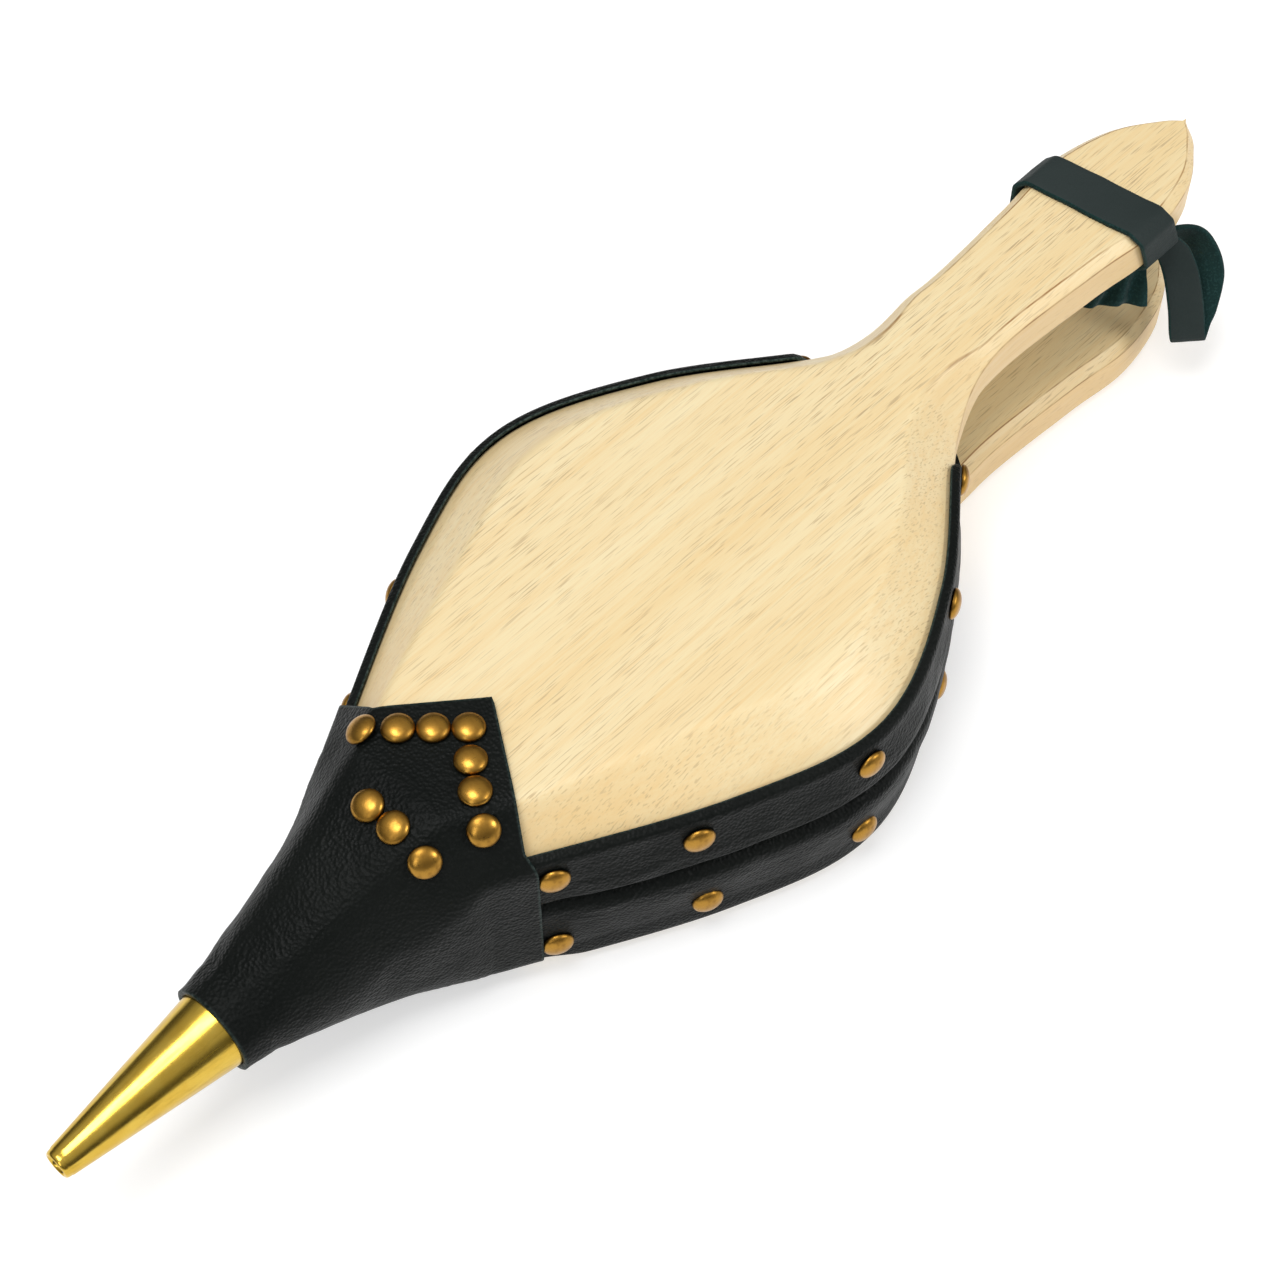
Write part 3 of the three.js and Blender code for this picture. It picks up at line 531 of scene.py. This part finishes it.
def side_leather():
    path = leather_path()
    outer, inner = [], []
    for x, y, nx, ny in path:
        across = x > NECK_X + 2.5
        profile = leather_profile(x, across)
        d = np.gradient(profile, axis=0)
        normal = np.stack([d[:, 1], -d[:, 0]], axis=1)
        normal /= np.linalg.norm(normal, axis=1)[:, None]
        for store, shift in ((outer, LEATHER / 2), (inner, -LEATHER / 2)):
            row = []
            for (o, z), (no, nz) in zip(profile, normal):
                free = smooth(abs(z - MID_Z), 17.5, 11.0) * (0.35 if x > NECK_X - 10 else 1.0)
                wave = 0.35 * rumple(x, y, z * 1.6, 24, 3.1) + 0.3 * rumple(x * 0.6, y * 0.6, z * 2.5, 5, 7.7)
                if shift < 0:
                    free *= 0.8
                part = shift * (1 - 0.5 * smooth(abs(z - MID_Z), 22.8, 25.0))
                reach = o + no * part + free * wave
                row.append((x + nx * reach, y + ny * reach, z + nz * part))
            store.append(row)
    rings = [a + b[::-1] for a, b in zip(outer, inner)]
    cols = len(outer[0])
    points, faces = tube(rings)
    rim = []
    for _ in rings:
        row = np.zeros(2 * cols)
        row[[0, cols - 1, cols, 2 * cols - 1]] = 1
        rim += row.tolist()
    obj = make("side_leather_skin", points, faces, [BLACK], attributes={"rim": rim + [1, 1]})
    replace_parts(obj, "side_leather")
    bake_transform(obj)


# ---- nose leather ----
SIDE_LEATHER = (GAP + LEATHER) * 1.25 + GAP
COUNTS = [2, 3, 5, 1, 3]  # spans between the corners of half a nose ring
SPANS = 14
RING_STEPS = 8  # points to a span
V_SPANS = 5.6  # spans either side of the top that the V reaches over
CONE_BASE, CONE_TIP = 12.4, 4.7
PLEATED_X = (-182, -160)  # the gathers at the collar fade over this stretch
STIFF_X = (-122, -112)  # from here on the leather lies tight on the wood


def cone_radius(x):
    return CONE_BASE + (x - COLLAR_X) * (CONE_BASE - CONE_TIP) / (COLLAR_X - NOZZLE_X)


def nose_ring(x, side_allowance, face_allowance):
    """Closed ring of the nose at x as (y, z), dense and with softened corners."""
    half = half_width(max(x, NOSE_X))
    panel = max(half - upper_bevel(x), 0.15) + 0.45 * face_allowance
    side = half + side_allowance
    under = half - LOW_BEVEL_W + 0.5 * face_allowance
    rise = NOSE_RELIEF * (1 - smooth(x, NOSE_X + 12, NOSE_X + 28))
    low = rise - face_allowance
    ease = SHOULDER_EASE * (1 - smooth(x, NOSE_X - 26, NOSE_X + 2))
    corners = np.array([
        (0, HEIGHT + face_allowance), (panel, HEIGHT + face_allowance),
        (side, BEVEL_FOOT - ease + 0.4 * side_allowance),
        (side, rise + LOW_BEVEL_D + 0.5 * ease - 0.3 * face_allowance),
        (under, low), (0, low),
    ])
    marks = np.cumsum([0] + COUNTS)
    v = np.arange(0, SPANS + 1e-9, 1 / RING_STEPS)
    half_ring = np.stack([np.interp(v, marks, corners[:, i]) for i in (0, 1)], axis=1)
    ring = np.vstack([half_ring, half_ring[-2:0:-1] * (-1, 1)])
    reach = int(RING_STEPS * lerp(0.55, 1.7, smooth(NOSE_X - x, -4, 24)))
    weights = np.hanning(2 * reach + 3)[1:-1]
    weights /= weights.sum()
    soft = np.zeros_like(ring)
    for k, w in enumerate(weights):
        soft += w * np.roll(ring, k - reach, axis=0)
    soft[:, 0] *= ring[:, 0].max() / soft[:, 0].max()
    soft[:, 1] = MID_Z + (soft[:, 1] - MID_Z) * (ring[0, 1] - MID_Z) / (soft[0, 1] - MID_Z)
    share = min(max((NOSE_X - x) / (NOSE_X - BLOCK_X), 0), 1) ** 1.05
    radius = BLOCK_RADIUS + side_allowance
    n = len(ring)
    angle = math.pi / 2 - 2 * math.pi * np.arange(n) / n
    circle = np.stack([radius * np.cos(angle), MID_Z + radius * np.sin(angle)], axis=1)
    return lerp(soft, circle, share)


def wrap_rows():
    """Outer and inner rows of points of the nose leather, front to back."""
    n = 2 * SPANS * RING_STEPS
    rows = 110
    back = np.full(n, WRAP_SIDE_X)
    for k in range(n):
        if min(k, n - k) / RING_STEPS >= V_SPANS:
            continue
        x = WRAP_SIDE_X
        for _ in range(6):
            y = nose_ring(x, SIDE_LEATHER + LEATHER, GAP + LEATHER)[k, 0]
            slope = WRAP_FAR_SLOPE if y > WRAP_POINT_Y else WRAP_NEAR_SLOPE
            x = WRAP_POINT_X - slope * abs(y - WRAP_POINT_Y)
        back[k] = max(x, WRAP_SIDE_X)
    outer, inner = [], []
    for i in range(rows + 1):
        t = i / rows
        for store, thickness in ((outer, LEATHER), (inner, 0.0)):
            row = []
            cache = {}
            for k in range(n):
                x = lerp(COLLAR_X, back[k], t)
                key = round(x, 3)
                if key not in cache:
                    allowance = lerp(GAP, SIDE_LEATHER, smooth(x, NOSE_X - 32, NOSE_X - 4)) + thickness
                    ring = nose_ring(max(x, BLOCK_X), allowance, GAP + thickness)
                    if x < BLOCK_X:
                        end = cone_radius(COLLAR_X) + GAP + thickness
                        scale = lerp(end / (BLOCK_RADIUS + allowance), 1.0, smooth(x, COLLAR_X, BLOCK_X))
                        ring = (ring - (0, MID_Z)) * scale + (0, MID_Z)
                    cache[key] = ring
                y, z = cache[key][k]
                row.append((x, y, z))
            store.append(row)
    return np.array(outer), np.array(inner)


def nose_leather():
    outer, inner = wrap_rows()
    rows, n = outer.shape[:2]
    centre = np.stack([outer[..., 0], np.zeros((rows, n)), np.full((rows, n), MID_Z)], axis=-1)
    push = outer - centre
    push /= np.linalg.norm(push, axis=2)[..., None]
    for i in range(rows):
        for k in range(n):
            x, y, z = outer[i, k]
            free = smooth(x, COLLAR_X, COLLAR_X + 8) * (1 - 0.7 * smooth(x, *STIFF_X))
            wave = 0.75 * rumple(x, y, z, 26, 1.3) + 0.2 * rumple(x, y, z, 8, 4.2)
            fine = 0.06 * rumple(x, y, z, 2.6, 9.1)
            gather = 0.45 * rumple(x * 0.3, y, z, 6, 5.5) * (1 - smooth(x, *PLEATED_X))
            shift = free * (wave + gather) + fine * min(1, free + 0.3)
            outer[i, k] += push[i, k] * shift
            inner[i, k] += push[i, k] * shift * free * 0.7
    rim = np.zeros((rows, n))
    rim[-1] = 1
    rim[0] = 0.6
    points = np.vstack([outer.reshape(-1, 3), inner[::-1].reshape(-1, 3)]).tolist()
    faces = grid(2 * rows, n, closed_rows=True, closed_cols=True)
    attribute = np.concatenate([rim.ravel(), rim[::-1].ravel()]).tolist()
    obj = make("nose_leather_skin", points, faces, [BLACK], attributes={"rim": attribute})
    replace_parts(obj, "nose_leather")
    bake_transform(obj)


side_leather()
nose_leather()


# ---- nozzle ----
SHANK_RADIUS, BORE_RADIUS = 10.6, 9.4


def lathe_x(profile, segments):
    """Rings round the nozzle's axis through (x, r) points of a closed profile."""
    rings = []
    for x, r in profile:
        rings.append([
            (x, r * math.cos(2 * math.pi * k / segments), MID_Z + r * math.sin(2 * math.pi * k / segments))
            for k in range(segments)
        ])
    return rings


def nozzle():
    shoulder = BLOCK_X - GAP
    rear = mm(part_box("nozzle")[1])[0]
    tip = NOZZLE_X
    outside = [(rear, SHANK_RADIUS), (shoulder, SHANK_RADIUS), (shoulder, cone_radius(shoulder) - 0.2)]
    outside += [(x, cone_radius(x)) for x in np.linspace(shoulder - 0.3, tip + 2.2, 40)]
    lip = [
        (tip + 1.9 * (1 - math.sin(a)) * 0.9, 3.9 + 0.85 * math.cos(a))
        for a in np.linspace(0, math.pi, 14)
    ]
    inside = [(tip + 2.5, 3.3), (tip + 12, 4.4), (shoulder, BORE_RADIUS), (rear, BORE_RADIUS)]
    points, faces = tube(lathe_x(outside + lip + inside, 96), closed=True)
    obj = make("nozzle_brass_cone", points, faces, [BRASS])
    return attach(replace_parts(obj, "nozzle"), "lower")


nozzle()


# ---- tacks ----
TACK_RADIUS, TACK_HEIGHT, TACK_LENGTH = 5.0, 2.9, 11.0
TACK_RIM = 0.4  # height of the head's upright rim


def tack_mesh():
    profile = [
        (0.0, -TACK_LENGTH), (0.35, -10.2), (1.1, -8.6), (1.1, 0.0), (4.7, -0.02),
        (TACK_RADIUS, 0.12), (TACK_RADIUS, TACK_RIM),
    ]
    for a in np.linspace(0.12, math.pi / 2, 12):
        profile.append((TACK_RADIUS * math.cos(a), TACK_RIM + (TACK_HEIGHT - TACK_RIM) * math.sin(a)))
    segments = 36
    rings = [
        [(max(r, 1e-3) * math.cos(2 * math.pi * k / segments),
          max(r, 1e-3) * math.sin(2 * math.pi * k / segments), z) for k in range(segments)]
        for r, z in profile
    ]
    points, faces = tube(rings)
    # rim marks the head's upright edge and everything under it, where shade is painted
    rim = [1.0 if r > 4.97 or z < 0.05 else 0.0 for r, z in profile for _ in range(segments)]
    template = make("tack_shape", points, faces, [BRONZE], attributes={"rim": rim + [0, 0]})
    mesh = template.data
    bpy.data.objects.remove(template)
    return mesh


def tacks():
    shape = tack_mesh()
    bodies = frame["record"]["behaviour"]["bodies"]
    for body, members in bodies.items():
        for name in members:
            if not name.startswith("tack_"):
                continue
            co = np.array([v.co for v in frame["nodes"][name].data.vertices], float) / MM
            co = np.unique(co.round(3), axis=0)
            # head points outnumber the rest, so the mean lies towards the head on the axis
            distance = np.linalg.norm(co - co.mean(axis=0), axis=1)
            tip = co[np.argmax(distance)]
            outward_axis = co.mean(axis=0) - tip
            outward_axis /= np.linalg.norm(outward_axis)
            seat = tip + outward_axis * TACK_LENGTH
            obj = bpy.data.objects.new(name.replace("tack_", "nail_"), shape)
            bpy.context.scene.collection.objects.link(obj)
            turn = Vector(outward_axis).to_track_quat("Z", "Y").to_matrix().to_4x4()
            obj.matrix_world = Matrix.Translation(Vector(seat * MM)) @ turn
            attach(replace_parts(obj, name), body)


tacks()


# ---- strap ----
STRAP_X = TIP_X - 51.4
STRAP_WIDTH, STRAP_THICK, STRAP_SKEW, STRAP_PULL = 17.5, 1.8, 2.5, 9.0
LOOP_WIDTH = 12.5
BAND_UNDER = INNER_FACE + RELIEF - GAP - STRAP_THICK
STRIP_TOP = 10  # faces across the upper side of a strip
STRIP_COLUMNS = 28  # points round its section


def strip_section(width, thick):
    """Section of a strap as (across, up) points: its upper side first, with rounded edges."""
    upper = [(-width / 2 + 0.5 + (width - 1.0) * k / STRIP_TOP, thick / 2) for k in range(STRIP_TOP + 1)]
    right = [(width / 2 - 0.1, thick / 2 - 0.25), (width / 2, 0), (width / 2 - 0.1, -thick / 2 + 0.25)]
    return upper + right + [(-a, -b) for a, b in upper] + [(-a, -b) for a, b in right]


def strip_faces(rows, closed):
    """Material of each side face of a strip: 0 on its upper side, 1 elsewhere."""
    spans = rows if closed else rows - 1
    return [0 if k < STRIP_TOP else 1 for _ in range(spans) for k in range(STRIP_COLUMNS)]


def strap_band():
    half, _ = board_section(STRAP_X, HANDLE_HALF + 0.3, BEVEL_W, BEVEL_D, 1.0)
    loop = [np.array([y, HEIGHT - z]) for y, z in half]
    loop += [np.array([-p[0], p[1]]) for p in reversed(loop[1:-1])]
    loop = np.array(loop)
    fine = []
    for i in range(len(loop)):
        a, b = loop[i], loop[(i + 1) % len(loop)]
        parts = max(1, int(np.linalg.norm(b - a) / 1.2))
        fine += [lerp(a, b, k / parts) for k in range(parts)]
    loop = np.array(fine)
    for _ in range(3):
        loop = (np.roll(loop, 1, axis=0) + 2 * loop + np.roll(loop, -1, axis=0)) / 4
    along = np.roll(loop, -1, axis=0) - np.roll(loop, 1, axis=0)
    normal = np.stack([-along[:, 1], along[:, 0]], axis=1)
    normal /= np.linalg.norm(normal, axis=1)[:, None]
    middle = loop.mean(axis=0)
    if np.sum((loop - middle) * normal) < 0:
        normal = -normal
    rings = []
    for (y, z), (ny, nz) in zip(loop, normal):
        ring = []
        for a, up in strip_section(STRAP_WIDTH, STRAP_THICK):
            down = (HEIGHT - z) / (THICK - RELIEF)
            x = STRAP_X + a + STRAP_PULL * down * (0.5 - 0.5 * y / HANDLE_HALF)
            x += 0.35 * rumple(y, z, a * 0.1, 8, 2.2) - STRAP_SKEW * y / HANDLE_HALF
            reach = STRAP_THICK / 2 + 0.1 + up + 0.2 * rumple(x, y, z, 9, 6.1)
            ring.append((x, y + ny * reach, z + nz * reach))
        rings.append(ring)
    points, faces = tube(rings, closed=True)
    obj = make("strap_band_leather", points, faces, [BAND, SUEDE], indices=strip_faces(len(rings), True))
    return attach(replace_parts(obj, "strap_band"), "strap")


def strap_place(along, across, rise):
    return np.array([STRAP_X + along, across - HANDLE_HALF, BAND_UNDER + rise])


def strap_loop():
    """A strip down to its bight and back up, flat at first and on edge at its end."""
    stations = [
        (20.0, 5.0, 0.2), (21.9, 1.5, -3.5), (21.8, -4, -10.9), (17.9, -10.9, -19.9),
        (15.2, -15.1, -27.9), (16.6, -15.5, -31.4), (21.9, -13.3, -30.4), (25.9, -12.3, -25.9),
        (32.4, -9.1, -18.4), (35.9, -3.8, -11.9), (36.4, 1.7, -8.4), (30.4, 6.7, -6.9),
        (22.4, 9.2, -6.9),
    ]
    route = spline([strap_place(*s) for s in stations], 9)
    tangent = np.gradient(route, axis=0)
    flat, on_edge = np.array([0.75, -0.65, 0.0]), np.array([-0.2, -0.2, 0.95])
    rings = []
    for i, (p, t) in enumerate(zip(route, tangent)):
        across = lerp(flat, on_edge, smooth(i / (len(route) - 1), 0.44, 0.95))
        across /= np.linalg.norm(across)
        face = np.cross(t, across)
        face /= np.linalg.norm(face)
        rings.append([
            p + across * u + face * (v + 0.25 * rumple(u, i * 0.9, 0, 6, 3.3))
            for u, v in strip_section(LOOP_WIDTH, STRAP_THICK)
        ])
    points, faces = tube(rings)
    obj = make(
        "strap_loop_leather", points, faces, [BAND, SUEDE],
        indices=strip_faces(len(rings), False) + [1] * (2 * STRIP_COLUMNS),  # the two ends too
    )
    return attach(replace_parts(obj, "strap_loop"), "strap")


def strap_gather():
    """The crumpled ends of the strap: a short fan that hangs from the band in pleats."""
    rows, cols = 34, 60
    root_a, root_b = np.array([188.0, -9.0, 56.5]), np.array([208.5, -18.5, 55.5])
    hem_a, hem_b = np.array([182.5, -7.0, 42.5]), np.array([202.5, -25.5, 41.8])
    face = np.array([-0.45, -0.75, 0.45])
    skins = []
    for side in (1, -1):
        for i in range(rows):
            t = i / (rows - 1)
            for k in range(cols):
                s = k / (cols - 1)
                p = lerp(lerp(root_a, root_b, s), lerp(hem_a, hem_b, s), t)
                pleat = math.sin(s * 19 + 2.6 * t) * lerp(0.5, 1.5, t)
                crumple = 1.7 * rumple(s * 22, t * 15, 0, 6, 8.4) + 0.6 * rumple(s * 22, t * 15, 3, 2.2, 1.4)
                sag = -1.6 * math.sin(math.pi * t) * (1 - s)
                p = p + face * (pleat + crumple * t + side * 0.7) + np.array([0, 0, sag])
                skins.append(p.tolist())
    faces = grid(rows, cols) + [tuple(reversed(f)) for f in grid(rows, cols, start=rows * cols)]
    border = list(range(cols)) + [i * cols + cols - 1 for i in range(1, rows)]
    border += [(rows - 1) * cols + k for k in range(cols - 2, -1, -1)]
    border += [i * cols for i in range(rows - 2, 0, -1)]
    shift = rows * cols
    for a, b in zip(border, border[1:] + border[:1]):
        faces.append((a, b, b + shift, a + shift))
    obj = make("strap_gather_suede", skins, faces, [SUEDE])
    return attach(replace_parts(obj, "strap_gather"), "strap")


strap_band()
strap_loop()
strap_gather()

# ---- the CAD nodes that stay ----
for name, look in (
    ("nose_block", BLOCK), ("valve_flap", BLOCK), ("valve_hinge", SUEDE), ("valve_keeper", SUEDE),
):
    obj = frame["nodes"][name]
    obj.data.materials.clear()
    obj.data.materials.append(look)

# ---- floor, light and camera ----
bpy.ops.mesh.primitive_plane_add(size=12, location=(0, 0, -0.0002))
floor = bpy.context.object
floor.name = "floor"
floor_material, floor_tree, floor_shader = material("floor_pale")
speck = noisy(floor_tree, stretched(floor_tree, (1, 1, 1)), 3.0, 2.0, 0.5)
floor_tree.links.new(
    ramp(floor_tree, speck, [(0.0, (0.66, 0.66, 0.66)), (1.0, (0.68, 0.68, 0.68))]),
    floor_shader.inputs["Base Color"],
)
floor_shader.inputs["Roughness"].default_value = 0.9
# the floor glows as well as being lit: this lightens the shadows on it and lights the object from below
floor_shader.inputs["Emission Color"].default_value = (1, 1, 1, 1)
floor_shader.inputs["Emission Strength"].default_value = 0.42
floor.data.materials.append(floor_material)

LIT_POINT = Vector((0, 0, 0.03))  # every light faces this place


def area_light(name, place, size, power):
    data = bpy.data.lights.new(name, "AREA")
    data.shape = "RECTANGLE"
    data.size, data.size_y = size
    data.energy = power
    obj = bpy.data.objects.new(name, data)
    bpy.context.scene.collection.objects.link(obj)
    obj.location = place
    obj.rotation_mode = "QUATERNION"
    obj.rotation_quaternion = (LIT_POINT - Vector(place)).to_track_quat("-Z", "Y")


area_light("key", (-0.42, 0.1, 1.75), (1.0, 0.7), 19)
area_light("near", (0.72, -1.2, 0.9), (0.6, 0.4), 9)
area_light("left", (-1.3, -0.5, 0.9), (0.4, 0.9), 3)

world = bpy.data.worlds.new("studio")
bpy.context.scene.world = world
world.use_nodes = True
sky = world.node_tree
height = node(sky, "ShaderNodeSeparateXYZ", Vector=node(sky, "ShaderNodeTexCoord").outputs["Generated"])
shade = ramp(sky, height.outputs["Z"], [(0.0, 0.25), (0.12, 0.1), (0.38, 0.22), (0.6, 0.75), (1.0, 1.0)])
background = sky.nodes["Background"]
sky.links.new(shade, background.inputs["Color"])
background.inputs["Strength"].default_value = 0.68

AZIMUTH, ELEVATION, DISTANCE = math.radians(-46.49), math.radians(54.84), 0.83925
TARGET = Vector((0.00487, 0.02362, 0))
back = Vector((
    math.sin(AZIMUTH) * math.cos(ELEVATION), -math.cos(AZIMUTH) * math.cos(ELEVATION),
    math.sin(ELEVATION),
))
right = Vector((math.cos(AZIMUTH), math.sin(AZIMUTH), 0))
up = back.cross(right)
roll = math.radians(-0.12)
right, up = right * math.cos(roll) + up * math.sin(roll), up * math.cos(roll) - right * math.sin(roll)
camera_data = bpy.data.cameras.new("photo_camera")
camera_data.sensor_width = 36.0
camera_data.lens = 71.9
camera = bpy.data.objects.new("photo_camera", camera_data)
bpy.context.scene.collection.objects.link(camera)
turned = Matrix((right, up, back)).transposed().to_4x4()
camera.matrix_world = Matrix.Translation(TARGET + back * DISTANCE) @ turned
bpy.context.scene.camera = camera
bpy.context.scene.view_settings.view_transform = "Standard"
